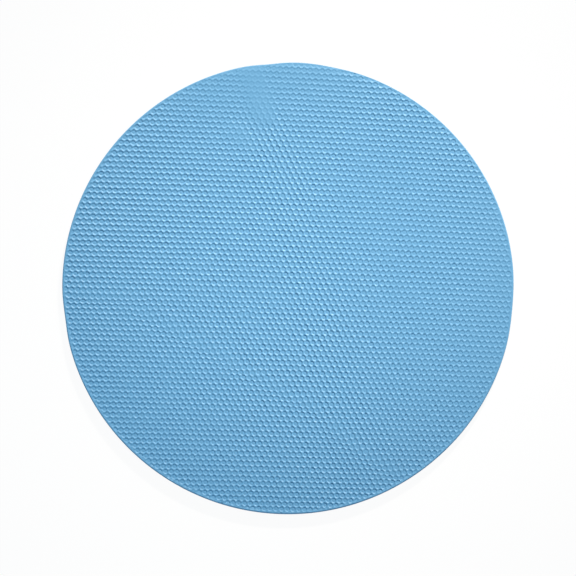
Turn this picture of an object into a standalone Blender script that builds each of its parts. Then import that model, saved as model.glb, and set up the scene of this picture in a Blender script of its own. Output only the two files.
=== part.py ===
# A round rubber grip pad for opening jars: one disc, die-cut from a calendered and embossed rubber sheet.
# The pad lies flat. Z is up, Z = 0 is the face that it rests on, and the origin is the middle of that face.

import math

import bpy

mm = 0.001

# The disc as it leaves the cutting die
pad_radius = 63.5 * mm
sheet_thickness = 2.4 * mm  # over the tops of the grip pattern's lands, face to face
top_edge_roll = 0.4 * mm  # the die presses the upper edge round as it goes in
bottom_edge_roll = 0.2 * mm  # the lower edge leaves the die sharper
cut_lean = 0.06 * mm  # the cut wall leans out towards the bottom, as rubber springs back behind the blade

# Facets
rim_steps = 180
roll_points = 5
join_share = 0.01  # of the lower roll: points of the turned skin closer than this are one point

# Sky-blue rubber, matt with a soft sheen
rubber_colour = (0.187, 0.441, 0.690, 1.0)
rubber_roughness = 0.62


def arc(middle_x, middle_z, radius, start_degrees, end_degrees, count):
    """Points along a quarter turn of the rim, both ends included."""
    points = []
    for step in range(count):
        angle = math.radians(start_degrees + (end_degrees - start_degrees) * step / (count - 1))
        points.append((middle_x + radius * math.cos(angle), 0.0, middle_z + radius * math.sin(angle)))
    return points


def rim_profile():
    """Half of the pad's section, from the middle of the top face round the rim to the middle of the underside."""
    wall_top = pad_radius - cut_lean
    profile = [(0.0, 0.0, sheet_thickness)]
    profile += arc(wall_top - top_edge_roll, sheet_thickness - top_edge_roll, top_edge_roll, 90.0, 0.0, roll_points)
    profile += arc(pad_radius - bottom_edge_roll, bottom_edge_roll, bottom_edge_roll, 0.0, -90.0, roll_points)
    profile += [(0.0, 0.0, 0.0)]
    return profile


def rubber_material(name):
    material = bpy.data.materials.new(name)
    material.use_nodes = True
    shader = material.node_tree.nodes["Principled BSDF"]
    shader.inputs["Base Color"].default_value = rubber_colour
    shader.inputs["Roughness"].default_value = rubber_roughness
    shader.inputs["Metallic"].default_value = 0.0
    material.diffuse_color = rubber_colour
    return material


def turned(name, profile, collection, material):
    """A closed body made by turning a half section about Z."""
    mesh = bpy.data.meshes.new(name)
    mesh.from_pydata(profile, [(step, step + 1) for step in range(len(profile) - 1)], [])
    body = bpy.data.objects.new(name, mesh)
    collection.objects.link(body)
    screw = body.modifiers.new("turn", "SCREW")
    screw.axis = "Z"
    screw.steps = rim_steps
    screw.render_steps = rim_steps
    screw.use_merge_vertices = True
    screw.merge_threshold = bottom_edge_roll * join_share
    screw.use_smooth_shade = True
    body.data.materials.append(material)
    return body


for old in list(bpy.data.objects):
    bpy.data.objects.remove(old, do_unlink=True)

jar_opener = bpy.data.collections.new("rubber_jar_opener")
bpy.context.scene.collection.children.link(jar_opener)

grip_pad = turned("grip_pad", rim_profile(), jar_opener, rubber_material("sky blue calendered rubber"))
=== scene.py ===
import math

import bpy
import numpy as np
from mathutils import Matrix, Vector


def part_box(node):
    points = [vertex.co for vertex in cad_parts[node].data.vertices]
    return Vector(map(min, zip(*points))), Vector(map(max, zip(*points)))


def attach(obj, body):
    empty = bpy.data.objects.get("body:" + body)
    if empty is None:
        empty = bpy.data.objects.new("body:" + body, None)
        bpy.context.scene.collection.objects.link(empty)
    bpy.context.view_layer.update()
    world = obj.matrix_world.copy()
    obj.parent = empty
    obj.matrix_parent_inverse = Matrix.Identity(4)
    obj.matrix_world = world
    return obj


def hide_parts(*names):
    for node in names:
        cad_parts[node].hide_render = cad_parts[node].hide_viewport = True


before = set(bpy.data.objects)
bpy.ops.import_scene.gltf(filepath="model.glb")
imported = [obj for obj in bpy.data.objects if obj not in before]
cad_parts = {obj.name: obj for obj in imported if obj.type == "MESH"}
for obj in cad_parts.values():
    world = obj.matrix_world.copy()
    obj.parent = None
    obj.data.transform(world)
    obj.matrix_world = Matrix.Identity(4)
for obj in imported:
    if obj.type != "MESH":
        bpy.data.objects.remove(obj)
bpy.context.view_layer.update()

# A round rubber grip pad, die-cut from a calendered sheet whose upper face is embossed all over with small
# pits in staggered rows. Lengths in the dictionaries are in millimetres.
mm = 0.001  # the frame and the meshes are in metres


def hexToLinear(code):
    # an sRGB hex colour turned to the linear values that the shaders want, by the sRGB curve: a straight
    # line for the darkest values and a power of 2.4 for the rest
    values = [int(code[k:k + 2], 16) / 255 for k in (1, 3, 5)]
    return tuple(v / 12.92 if v <= 0.04045 else ((v + 0.055) / 1.055) ** 2.4 for v in values) + (1.0,)


def addNode(tree, kind, links=None, settings=None, **sockets):
    # one node with its attributes, its socket values and its incoming links
    node = tree.nodes.new(kind)
    for name, value in (settings or {}).items():
        setattr(node, name, value)
    for name, value in sockets.items():
        node.inputs[name.replace("_", " ")].default_value = value
    for socket, source in (links or {}).items():
        tree.links.new(source, node.inputs[socket])
    return node


def newMaterial(name):
    # an empty material and the tree that its nodes go into
    material = bpy.data.materials.new(name)
    material.use_nodes = True
    material.node_tree.nodes.clear()
    return material, material.node_tree


def newMesh(name, points, faces):
    # points is an (n, 3) array in metres, faces an (m, 3) array of point numbers
    mesh = bpy.data.meshes.new(name)
    mesh.from_pydata(points.tolist(), [], faces.tolist())
    mesh.polygons.foreach_set("use_smooth", np.ones(len(faces), bool))
    mesh.update()
    piece = bpy.data.objects.new(name, mesh)
    bpy.context.scene.collection.objects.link(piece)
    return piece


# The grip pattern: pit (i, j) stands i steps along a row and j rows up. The stretch tables bend the rows
# as the soft sheet stretched on its way off the embossing roller; an entry is
# (power of i/stretchReach, power of j/stretchReach): mm.
grip = {
    "reach": (62, 50),  # pits to either side of the middle, and rows; the rim trims them
    "alongRow": (1.654, -0.053),
    "toNextRow": (-0.719, 1.482),
    "firstPit": (-0.17, -0.54),
    "stretchX": {(2, 0): -0.50, (1, 1): 1.99, (0, 2): -0.58,
                 (3, 0): -0.31, (2, 1): 0.19, (1, 2): -0.18, (0, 3): -0.10},
    "stretchY": {(2, 0): -0.38, (1, 1): -0.61, (0, 2): 1.20,
                 (3, 0): -0.13, (2, 1): -0.17, (1, 2): -0.10, (0, 3): -0.13},
    "stretchReach": 40,
    "depth": 0.162,
    # along x and y, how far the corners of a pit's floor and of its lip lie on the way from its middle to the
    # places where three pits meet; the stretch left thicker walls between neighbours in a row
    "footShare": (0.535, 0.50),
    "lipShare": (0.725, 0.80),
    # how much lower the floor's middle lies than its corners, as a share of the depth; here it stands higher
    "floorDish": -0.25,
    # how far chance moves each pit, deepens it, widens it and lowers its walls, as a standard deviation
    "placeJitter": 0.032,
    "depthJitter": 0.013,
    "sizeJitter": 0.035,  # as a share of the pit's size
    "wallJitter": 0.06,  # as a share of the depth, and so is the range
    "wallRange": (-0.25, 1.1),  # a wall lowered by less than nothing stands a little proud
    "seed": 11,
}

# The walls between pits aren't equally high: the roller pressed them lower here and there. "level" gives how
# far the middle of a wall lies below the land, as a share of the pit's depth, for the three directions of
# neighbours: along the row, up to the right and up to the left. Each place adds to it, most on its line of
# points and less either side, and its "depth" adds to the share of the full depth that the pits have there.
pressed = {
    "level": (0.38, 0.30, 0.22),
    "depthLevel": 1.05,  # the share of the full depth away from all the places
    "fade": 2,  # how firmly a place ends, see nearLine
    "places": (
        {"line": ((-62, 45), (-62, -50)), "half": 36, "walls": (0.75, 0, 0), "depth": 0},
        {"line": ((-10, 62), (20, 62)), "half": 16, "walls": (0.5, 0, 0), "depth": 0},
        {"line": ((30, 25), (42, -30)), "half": 20, "walls": (0, 0.8, 0), "depth": 0.03},
        {"line": ((-18, 62), (-8, 62)), "half": 20, "walls": (0, 0.8, 0), "depth": 0},
        {"line": ((-60, 18), (-60, 10)), "half": 18, "walls": (0, -0.6, 0), "depth": -0.1},
        {"line": ((-44, -36), (-30, -52)), "half": 18, "walls": (0, 0.35, 0), "depth": 0.06},
        {"line": ((0, -22), (14, -58)), "half": 16, "walls": (0, -0.35, 0), "depth": 0},
        {"line": ((-20, -30), (25, -40)), "half": 24, "walls": (0, 0, 0.85), "depth": 0},
        {"line": ((-50, -8), (12, -6)), "half": 16, "walls": (0, 0, 0.6), "depth": 0},
        {"line": ((-12, 18), (0, 20)), "half": 14, "walls": (0, 0, 0.3), "depth": 0},
        {"line": ((66, 20), (66, -40)), "half": 15, "walls": (0, 0, 0), "depth": -0.5},
        {"line": ((-20, 66), (10, 66)), "half": 15, "walls": (0, 0, 0), "depth": -0.5},
    ),
}

# Where the sheet slipped on the roller or was creased while warm, pits sit off their rows, and are shallower
# or run into each other. Each place is a line of points and its half width, the slip of the pits on it, the
# share of their depth that they have there, and how much lower its walls are in the three directions, as a
# share of the depth.
slips = {
    "fade": 4,
    "places": (
        {"line": ((-42, -6.6), (9.1, -35.3)), "half": 1.3,
         "slip": (0.05, -0.37), "depth": 0.92, "walls": (0, 0, 0)},
        {"line": ((13, -39.7), (20, -46), (30.9, -52.6)), "half": 1.5,
         "slip": (0.05, -0.42), "depth": 0.85, "walls": (0, 0, 0.2)},
        {"line": ((-35, -1.9), (62, -2.6)), "half": 2.4,
         "slip": (0, -0.09), "depth": 0.95, "walls": (0, 0, 0)},
        {"line": ((-60, -2.2), (-41, -2.4)), "half": 1.6,
         "slip": (0.12, -0.35), "depth": 0.88, "walls": (0, 0, 0)},
        {"line": ((-12.4, -6.8), (-11.6, -6.8)), "half": 1.6,
         "slip": (0, 0.45), "depth": 0.80, "walls": (0, 0, 0)},
        {"line": ((-10.2, 60), (-7, 49)), "half": 3.6,
         "slip": (0, 0), "depth": 0.45, "walls": (0, 0, 0.1)},
        {"line": ((-13.6, 43.5), (-13.2, 42)), "half": 2.6,
         "slip": (0, 0), "depth": 0.60, "walls": (0, 0, 0.1)},
        {"line": ((-8, 47.5), (1, 30)), "half": 5,
         "slip": (0, 0), "depth": 0.95, "walls": (-0.1, -0.2, 0.65)},
        {"line": ((-7.2, 44.3), (3.5, 10.6), (11.9, -23.1), (18.9, -45.5)), "half": 7.5,
         "slip": (0, 0), "depth": 1.03, "walls": (-0.15, -0.15, 0.15)},
        {"line": ((10, -33), (22, -48)), "half": 6,
         "slip": (0, 0), "depth": 0.95, "walls": (-0.1, -0.15, 0.45)},
    ),
}

# A pit has six sides and 16 points: the middle of its floor, the floor's six corners, the lip's six corners,
# and the middles of its own three walls, those to the first three neighbours. The other three walls belong to
# the other neighbours. Of the six lands round it, where three pits meet, it owns the first two.
sides, ownWalls, ownLands = 6, 3, 2
middleAt, floorAt, lipAt, wallAt = 0, 1, 7, 13
middleKind, floorKind, lipKind, wallKind, outsideKind = 0, 1, 2, 3, -1
# each neighbour as steps along the row and rows up
around = ((1, 0), (1, 1), (0, 1), (-1, 0), (-1, -1), (0, -1))


def pitPlaces(i, j):
    # lattice place plus a cubic stretch: the sum of size * (i/stretchReach)^a * (j/stretchReach)^b
    reach = grip["stretchReach"]
    x = grip["firstPit"][0] + i * grip["alongRow"][0] + j * grip["toNextRow"][0]
    y = grip["firstPit"][1] + i * grip["alongRow"][1] + j * grip["toNextRow"][1]
    for (a, b), size in grip["stretchX"].items():
        x = x + size * (i / reach) ** a * (j / reach) ** b
    for (a, b), size in grip["stretchY"].items():
        y = y + size * (i / reach) ** a * (j / reach) ** b
    return x, y


def nearLine(x, y, line, half, fade):
    # 1 on the line, falling to 0 either side as exp(-(distance / half)^fade): a fade of 2 falls softly, and
    # 4 has a firmer edge
    distance = np.full(x.shape, np.inf)
    for (ax, ay), (bx, by) in zip(line[:-1], line[1:]):
        along = ((x - ax) * (bx - ax) + (y - ay) * (by - ay)) / ((bx - ax) ** 2 + (by - ay) ** 2)
        along = np.clip(along, 0, 1)
        distance = np.minimum(distance, np.hypot(x - ax - along * (bx - ax), y - ay - along * (by - ay)))
    return np.exp(-(distance / half) ** fade)


def pitValues(rng):
    # each pit's middle, depth and size and how far its walls are lowered: the lattice and the levels, changed
    # by the pressed places and the slips, with a little chance in each
    i, j = np.meshgrid(*(np.arange(-reach, reach + 1) for reach in grip["reach"]), indexing="ij")
    x, y = pitPlaces(i, j)
    depth = grip["depth"] + rng.normal(0, grip["depthJitter"], x.shape)
    depthHere, walls = pressed["depthLevel"], pressed["level"]
    for spot in pressed["places"]:
        near = nearLine(x, y, spot["line"], spot["half"], pressed["fade"])
        depthHere = depthHere + near * spot["depth"]
        walls = [wall + near * change for wall, change in zip(walls, spot["walls"])]
    depth = depth * depthHere
    size = 1 + rng.normal(0, grip["sizeJitter"], x.shape)
    slippedX, slippedY = x, y
    for flaw in slips["places"]:
        near = nearLine(x, y, flaw["line"], flaw["half"], slips["fade"])
        slippedX = slippedX + near * flaw["slip"][0]
        slippedY = slippedY + near * flaw["slip"][1]
        depth = depth * (1 - near * (1 - flaw["depth"]))
        walls = [wall + near * change for wall, change in zip(walls, flaw["walls"])]
    x = slippedX + rng.normal(0, grip["placeJitter"], x.shape)
    y = slippedY + rng.normal(0, grip["placeJitter"], y.shape)
    return x, y, depth, size, walls


def pitPoints(rng):
    # The corners lie on the lines from the pit's middle to the six places where it meets two neighbours, each
    # place being the mean of those three pits' middles: corner = middle + share * (place - middle).
    x, y, depth, size, walls = pitValues(rng)
    near = [(np.roll(x, (-di, -dj), (0, 1)), np.roll(y, (-di, -dj), (0, 1))) for di, dj in around]
    layers = [(x, y, -depth * (1 + grip["floorDish"]))]
    for (shareX, shareY), height in ((grip["footShare"], -depth), (grip["lipShare"], 0 * depth)):
        for k in range(sides):
            meetX = (x + near[k][0] + near[(k + 1) % sides][0]) / 3
            meetY = (y + near[k][1] + near[(k + 1) % sides][1]) / 3
            layers.append((x + (meetX - x) * shareX * size, y + (meetY - y) * shareY * size, height))
    for k in range(ownWalls):
        lowered = np.clip(walls[k] + rng.normal(0, grip["wallJitter"], x.shape), *grip["wallRange"])
        layers.append(((x + near[k][0]) / 2, (y + near[k][1]) / 2, -depth * lowered))
    return np.stack([np.stack(layer, -1) for layer in layers], 2)  # pit i, pit j, 16 points, xyz


def pitFaces(number):
    # The triangles between the points: round each pit its floor and the slopes up to its walls, then the tops
    # of its three own walls, then the two lands beside it where three pits meet.
    inner = number[1:-1, 1:-1]

    def other(k):
        # the point numbers of the neighbour k of each inner pit
        di, dj = around[k]
        return number[1 + di:number.shape[0] - 1 + di, 1 + dj:number.shape[1] - 1 + dj]

    faces = []
    for k in range(sides):
        before = (k - 1) % sides
        floor, floorBefore = inner[..., floorAt + k], inner[..., floorAt + before]
        lip, lipBefore = inner[..., lipAt + k], inner[..., lipAt + before]
        wall = inner[..., wallAt + k] if k < ownWalls else other(k)[..., wallAt + k - ownWalls]
        faces.append((inner[..., middleAt], floorBefore, floor))
        faces.append((floorBefore, lipBefore, wall))
        faces.append((floorBefore, wall, floor))
        faces.append((floor, wall, lip))
    for k in range(ownWalls):
        lip, lipBefore = inner[..., lipAt + k], inner[..., lipAt + (k - 1) % sides]
        wall = inner[..., wallAt + k]
        faces.append((lipBefore, other(k)[..., lipAt + (k + 3) % sides], wall))
        faces.append((other(k)[..., lipAt + (k + 2) % sides], lip, wall))
    for k in range(ownLands):
        faces.append((inner[..., lipAt + k], other(k)[..., lipAt + (k + 2) % sides],
                      other(k + 1)[..., lipAt + (k + 4) % sides]))
    return np.concatenate([np.stack([corner.ravel() for corner in face], 1) for face in faces])


def gripSurface():
    # an open honeycomb of six-sided pits, its land at height 0: the points, their kinds and the triangles
    points = pitPoints(np.random.default_rng(grip["seed"]))
    number = np.arange(points[..., 0].size).reshape(points.shape[:3])
    kind = np.repeat((middleKind, floorKind, lipKind, wallKind), (1, sides, sides, ownWalls))
    return points.reshape(-1, 3), np.broadcast_to(kind, number.shape).ravel(), pitFaces(number)


padLow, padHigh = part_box("grip_pad")
pad = {
    "radius": (padHigh[0] - padLow[0]) / 2 / mm,
    "thickness": (padHigh[2] - padLow[2]) / mm,
    "topRoll": 0.4,  # the die pressed the upper edge round
    "bottomRoll": 0.2,
    # In these three an entry is (degrees round the rim, half width in degrees, size): where the cut runs a
    # little inside the circle, where the die cut cleaner, as a share of the roll, and where the face droops.
    "cutInside": ((95, 4, -0.30), (78, 5, -0.14), (187.5, 5, -0.30), (355, 7, -0.24), (305, 20, -0.07)),
    "cleanCut": ((75, 75, -0.60),),
    "droop": ((75, 70, 0.12),),
    "droopWidth": 1.4,
    "rubbedWidth": 0.5,  # next to the cut the pits are rubbed shallower
    "rubbedShare": 0.95,
    "cutLean": 0.06,  # the cut wall leans out towards the bottom
    "rollRings": 4,
    "undersideRings": (0.985, 0.90, 0.70, 0.45, 0.20),  # shares of the radius
}


def aroundRim(table, angle):
    # a value that changes round the rim: the sum of size * exp(-(degrees away / half width)^2)
    away = [(np.degrees(angle) - middle + 180) % 360 - 180 for middle, _, _ in table]
    return sum(size * np.exp(-(d / half) ** 2) for d, (_, half, size) in zip(away, table))


def rimAt(angle):
    # the radius of the cut, the roll of its upper edge and the radius where the flat face ends
    radius = pad["radius"] + aroundRim(pad["cutInside"], angle)
    roll = pad["topRoll"] * (1 + aroundRim(pad["cleanCut"], angle))
    return radius, roll, radius - pad["cutLean"] - roll


def trimmedSurface():
    # The grip surface with what lies past the flat face's edge taken off. Points just past it are drawn in to
    # it, so the outer pits are cut through as the die cut them. Heights shrink by
    # rubbedShare * (1 - distance to the edge / rubbedWidth), and then the face sinks by
    # droop * (1 - distance to the edge / droopWidth)^2; neither bracket goes below 0.
    points, kind, faces = gripSurface()
    r = np.hypot(points[:, 0], points[:, 1])
    _, _, flatRadius = rimAt(np.arctan2(points[:, 1], points[:, 0]))
    faces = faces[(r < flatRadius)[faces].any(axis=1)]
    used = np.unique(faces)
    renumber = np.full(len(r), -1)
    renumber[used] = np.arange(len(used))
    faces = renumber[faces]
    points, r, kind, flatRadius = points[used], r[used], kind[used], flatRadius[used]
    points[:, :2] *= np.minimum(1, flatRadius / r)[:, None]
    toEdge = np.clip(flatRadius - r, 0, None)
    points[:, 2] *= 1 - pad["rubbedShare"] * np.clip(1 - toEdge / pad["rubbedWidth"], 0, 1)
    droop = aroundRim(pad["droop"], np.arctan2(points[:, 1], points[:, 0]))
    points[:, 2] -= droop * np.clip(1 - toEdge / pad["droopWidth"], 0, 1) ** 2
    return points, np.where(r < flatRadius, kind, outsideKind), faces


def outline(faces, count):
    # the outline of an open sheet of triangles is made of the edges that only one triangle uses
    edges = np.concatenate([faces[:, [0, 1]], faces[:, [1, 2]], faces[:, [2, 0]]])
    key = edges[:, 0].astype(np.int64) * count + edges[:, 1]
    back = edges[:, 1].astype(np.int64) * count + edges[:, 0]
    return edges[~np.isin(key, back)]


def rimSection(angle):
    # The section of the rim below the flat: a quarter turn of the upper roll, out by roll * sin(turn) and
    # down by roll * (1 - cos(turn)), the leaning wall, a like quarter turn of the lower roll, then the
    # underside. Each ring is (radius, height, how much of the cut pits' dip is left there).
    thick, low, rings = pad["thickness"], pad["bottomRoll"], pad["rollRings"]
    radius, roll, flatRadius = rimAt(angle)
    section = []
    for turn in (math.pi / 2 * k / rings for k in range(1, rings + 1)):
        height = thick - roll * (1 - math.cos(turn))
        section.append((flatRadius + roll * math.sin(turn), height, math.cos(turn)))
    for turn in (math.pi / 2 * k / (rings - 1) for k in range(rings)):
        section.append((radius - low * (1 - math.cos(turn)), low * (1 - math.sin(turn)), 0.0))
    for share in pad["undersideRings"]:
        section.append(((radius - low) * share, 0.0, 0.0))
    return section


def markCrisp(piece, kinds):
    # the foot and the lip of each pit's wall are crisp
    ends = np.zeros(2 * len(piece.data.edges), int)
    piece.data.edges.foreach_get("vertices", ends)
    first, second = np.sort(kinds[ends.reshape(-1, 2)], axis=1).T
    foot = (first == floorKind) & (second == floorKind)
    lip = (first == lipKind) & (second == wallKind)
    piece.data.edges.foreach_set("use_edge_sharp", foot | lip)


def makePad():
    # the rim's section is carried round below the trimmed grip face: ring by ring, each point at its ring's
    # radius and height and at the angle of the face's outline point above it, down to one point underneath
    points, kind, faces = trimmedSurface()
    rim = np.unique(outline(faces, len(points)))
    angle = np.arctan2(points[rim, 1], points[rim, 0])
    rim, angle = rim[np.argsort(angle)], np.sort(angle)
    print("grip face:", len(rim), "points cut by the die,", len(faces), "triangles")
    dip = points[rim, 2].copy()
    points[:, 2] += pad["thickness"]
    layers, rings, count = [points], [rim], len(points)
    for radius, height, dipLeft in rimSection(angle):
        layers.append(np.stack([radius * np.cos(angle), radius * np.sin(angle), height + dip * dipLeft], 1))
        rings.append(count + np.arange(len(rim)))
        count += len(rim)
    layers.append(np.zeros((1, 3)))
    parts = [faces]
    for upper, lower in zip(rings[:-1], rings[1:]):
        nextUpper, nextLower = np.roll(upper, -1), np.roll(lower, -1)
        parts.append(np.stack([upper, lower, nextLower], 1))
        parts.append(np.stack([upper, nextLower, nextUpper], 1))
    last = rings[-1]
    parts.append(np.stack([last, np.full(len(last), count), np.roll(last, -1)], 1))
    piece = newMesh("embossed_rubber_pad", np.concatenate(layers) * mm, np.concatenate(parts))
    markCrisp(piece, np.concatenate([kind, np.full(count + 1 - len(kind), outsideKind)]))
    return piece


padPiece = makePad()
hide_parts("grip_pad")
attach(padPiece, "root")
print("pad made:", len(padPiece.data.polygons), "faces")

# Solid rubber, coloured right through: a soft, waxy half-matt blue whose highlight is broad. It gives the
# eye small glints on the lips of the pits, a faint cloudiness from the mixing mill, a matt underside that
# took the liner cloth's fine grain, and a duller, paler band where the die tore through the edge.
rubber = {
    "colour": "#69abd7",
    "cloudColour": "#66a9d6",  # the mill leaves the pigment a little denser here and there
    "cloud": 9.0,  # mm, the size of a cloud
    "edgeColour": "#72afd8",
    "edgeBand": (0.15, 0.7),  # mm below the face: where the cut's own look begins and is full
    "roughness": (0.56, 0.64),
    "roughPatch": 3.0,  # mm, where the face was handled or dusted more or less
    "patchRange": (0.3, 0.7),  # where most of the noise's values lie
    "noiseDetail": 3.0,
    "noiseRoughness": 0.6,
    "cutRoughness": 0.72,
    "ior": 1.5,
    "shine": 1.0,  # the shader's specular level; above its usual 0.5 for the waxy bloom
    "grain": 0.12,  # mm; its dusting of chalk is finer, and is drawn coarser so that it can be seen
    "grainHeight": 0.03,  # mm
    "grainShown": (0.12, 0.6),  # on the face, and on the cut and the underside
}
# where a Mix node has its two inputs and its result, for colours and for plain values
colourA, colourB, colourOut = 6, 7, 2
valueA, valueB, valueOut = 2, 3, 0

material, tree = newMaterial("calendered natural rubber, sky blue")
place = addNode(tree, "ShaderNodeTexCoord").outputs["Object"]
split = addNode(tree, "ShaderNodeSeparateXYZ", {"Vector": place})
noise = {"Detail": rubber["noiseDetail"], "Roughness": rubber["noiseRoughness"]}
cloud, patch, grain = (
    addNode(tree, "ShaderNodeTexNoise", {"Vector": place},
            Scale=1 / (rubber[size] * mm), **noise).outputs["Fac"]
    for size in ("cloud", "roughPatch", "grain"))
# 0 on the face and 1 on the cut and the underside
begin, full = (pad["thickness"] - down for down in rubber["edgeBand"])
below = addNode(tree, "ShaderNodeMapRange", {"Value": split.outputs["Z"]},
                **{"From Min": begin * mm, "From Max": full * mm}).outputs["Result"]
body = addNode(tree, "ShaderNodeMix", {"Factor": cloud}, {"data_type": "RGBA"})
body.inputs[colourA].default_value = hexToLinear(rubber["colour"])
body.inputs[colourB].default_value = hexToLinear(rubber["cloudColour"])
worn = addNode(tree, "ShaderNodeMix", {"Factor": below, colourA: body.outputs[colourOut]},
               {"data_type": "RGBA"})
worn.inputs[colourB].default_value = hexToLinear(rubber["edgeColour"])
dull = addNode(tree, "ShaderNodeMapRange", {"Value": patch}, **{
    "From Min": rubber["patchRange"][0], "From Max": rubber["patchRange"][1],
    "To Min": rubber["roughness"][0], "To Max": rubber["roughness"][1]})
rough = addNode(tree, "ShaderNodeMix", {"Factor": below, valueA: dull.outputs["Result"]})
rough.inputs[valueB].default_value = rubber["cutRoughness"]
shown = addNode(tree, "ShaderNodeMapRange", {"Value": below}, **{
    "To Min": rubber["grainShown"][0], "To Max": rubber["grainShown"][1]})
bump = addNode(tree, "ShaderNodeBump", {"Height": grain, "Strength": shown.outputs["Result"]},
               Distance=rubber["grainHeight"] * mm)
surface = addNode(tree, "ShaderNodeBsdfPrincipled", {
    "Normal": bump.outputs["Normal"], "Base Color": worn.outputs[colourOut],
    "Roughness": rough.outputs[valueOut]}, IOR=rubber["ior"], Specular_IOR_Level=rubber["shine"])
addNode(tree, "ShaderNodeOutputMaterial", {"Surface": surface.outputs["BSDF"]})
padPiece.data.materials.append(material)

paper = {
    "flatRadius": 2000.0,  # the paper is flat this far out, and then curls up into a low backdrop
    "curlWidth": 600.0,
    "curlRise": 350.0,
    "curlRings": 8,
    "roundSteps": 72,
    "gap": 0.1,  # between the pad and the paper, so that the two faces don't lie in one plane
    "colour": "#e7e7e7",
    "glow": "#ffffff",
    "white": 1.02,
    "whiteShare": 0.93,  # the rest is the paper as it is lit, with the pad's faint shadow
}


def makePaper():
    # a round sheet: flat, then ring by ring up by rise * (1 - cos(a quarter turn * the share of the curl's
    # width)), with one point in the middle
    turn = 2 * np.pi * np.arange(paper["roundSteps"]) / paper["roundSteps"]
    share = np.arange(paper["curlRings"] + 1)[:, None] / paper["curlRings"]
    radius = paper["flatRadius"] + paper["curlWidth"] * share
    height = paper["curlRise"] * (1 - np.cos(np.pi / 2 * share)) - paper["gap"]
    rings = np.stack([radius * np.cos(turn), radius * np.sin(turn), height + 0 * turn], 2).reshape(-1, 3)
    number = 1 + np.arange(len(rings)).reshape(len(share), -1)
    beside = np.roll(number, -1, axis=1)
    faces = [np.stack([0 * number[0], number[0], beside[0]], 1)]
    for k in range(paper["curlRings"]):
        faces.append(np.stack([number[k], number[k + 1], beside[k + 1]], 1))
        faces.append(np.stack([number[k], beside[k + 1], beside[k]], 1))
    points = np.concatenate([[[0, 0, -paper["gap"]]], rings])
    return newMesh("paper_sweep", points * mm, np.concatenate(faces))


# Matt white paper, which the camera, mirrors and glass see as plain white with a faint shadow.
paperMaterial, tree = newMaterial("white paper, uncoated")
ray = addNode(tree, "ShaderNodeLightPath").outputs
lit = addNode(tree, "ShaderNodeBsdfDiffuse", Color=hexToLinear(paper["colour"]))
glow = addNode(tree, "ShaderNodeEmission", Color=hexToLinear(paper["glow"]), Strength=paper["white"])
seen = addNode(tree, "ShaderNodeMath", {0: ray["Is Camera Ray"], 1: ray["Is Glossy Ray"]},
               {"operation": "ADD"})
seen = addNode(tree, "ShaderNodeMath", {0: seen.outputs[0], 1: ray["Is Transmission Ray"]},
               {"operation": "ADD", "use_clamp": True})
shownWhite = addNode(tree, "ShaderNodeMapRange", {"Value": seen.outputs[0]},
                     **{"To Max": paper["whiteShare"]})
both = addNode(tree, "ShaderNodeMixShader", {
    "Fac": shownWhite.outputs[0], 1: lit.outputs[0], 2: glow.outputs[0]})
addNode(tree, "ShaderNodeOutputMaterial", {"Surface": both.outputs[0]})
paperPiece = makePaper()
paperPiece.data.materials.append(paperMaterial)
print("paper laid:", len(paperPiece.data.polygons), "faces")

# The key is low and a little warm, and rakes across the pits from the upper right; the weak, cool fill from
# high up evens the lower left; the world is a plain pale blue. A beam is in degrees, a power in watts, and a
# bulb is the lamp's radius.
light = {
    "key_lamp": {"place": (683, 1984, 1163), "aim": (12, 17, 0), "beam": 3.5, "softEdge": 1.0,
                 "widen": 2.05, "bulb": 40, "colour": "#fff2e4", "power": 484},
    "fill_lamp": {"place": (-700, -700, 2200), "aim": (-60, -45, 0), "beam": 4.0, "softEdge": 1.0,
                  "widen": 1.0, "bulb": 40, "colour": "#aff0ff", "power": 17},
    "worldColour": "#b4e4ff",
    "worldStrength": 0.32,
}


def addLamp(name):
    # a far, small lamp turned towards the point that it is aimed at, its beam widened one way
    values = light[name]
    lamp = bpy.data.lights.new(name, "SPOT")
    lamp.energy = values["power"]
    lamp.color = hexToLinear(values["colour"])[:3]
    lamp.spot_size = math.radians(values["beam"])
    lamp.spot_blend = values["softEdge"]
    lamp.shadow_soft_size = values["bulb"] * mm
    stand = bpy.data.objects.new(name, lamp)
    stand.location = Vector(values["place"]) * mm
    stand.rotation_euler = (Vector(values["aim"]) * mm - stand.location).to_track_quat("-Z", "Y").to_euler()
    stand.scale[0] = values["widen"]
    bpy.context.scene.collection.objects.link(stand)


world = bpy.data.worlds.new("plain studio")
bpy.context.scene.world = world
world.use_nodes = True
backdrop = world.node_tree.nodes["Background"]
backdrop.inputs["Color"].default_value = hexToLinear(light["worldColour"])
backdrop.inputs["Strength"].default_value = light["worldStrength"]
addLamp("key_lamp")
addLamp("fill_lamp")
print("two lamps and the world lit")

view = {
    "pixelsAcross": 576,
    "discPixels": 452.3,  # the disc's width in the photograph
    "discOff": (0.11, -0.32),  # its middle from the picture's middle, in pixels, right and up
    "lens": 300.0,
    "sensor": 36.0,
}
camera = bpy.data.cameras.new("camera")
camera.lens = view["lens"]
camera.sensor_width = view["sensor"]
# the camera's distance is half the width that it frames / (half the sensor / the lens), from the foot of the
# upper roll, where the disc is seen widest
across = 2 * pad["radius"] * view["pixelsAcross"] / view["discPixels"]
pixel = across / view["pixelsAcross"]
height = across / 2 / (view["sensor"] / 2 / view["lens"]) + pad["thickness"] - pad["topRoll"]
cameraBody = bpy.data.objects.new("camera", camera)
cameraBody.location = Vector((-view["discOff"][0] * pixel, -view["discOff"][1] * pixel, height)) * mm
bpy.context.scene.collection.objects.link(cameraBody)
bpy.context.scene.camera = cameraBody
bpy.context.scene.view_settings.view_transform = "Standard"
print("camera", round(height), "mm above the pad, frame", round(across, 1), "mm wide")
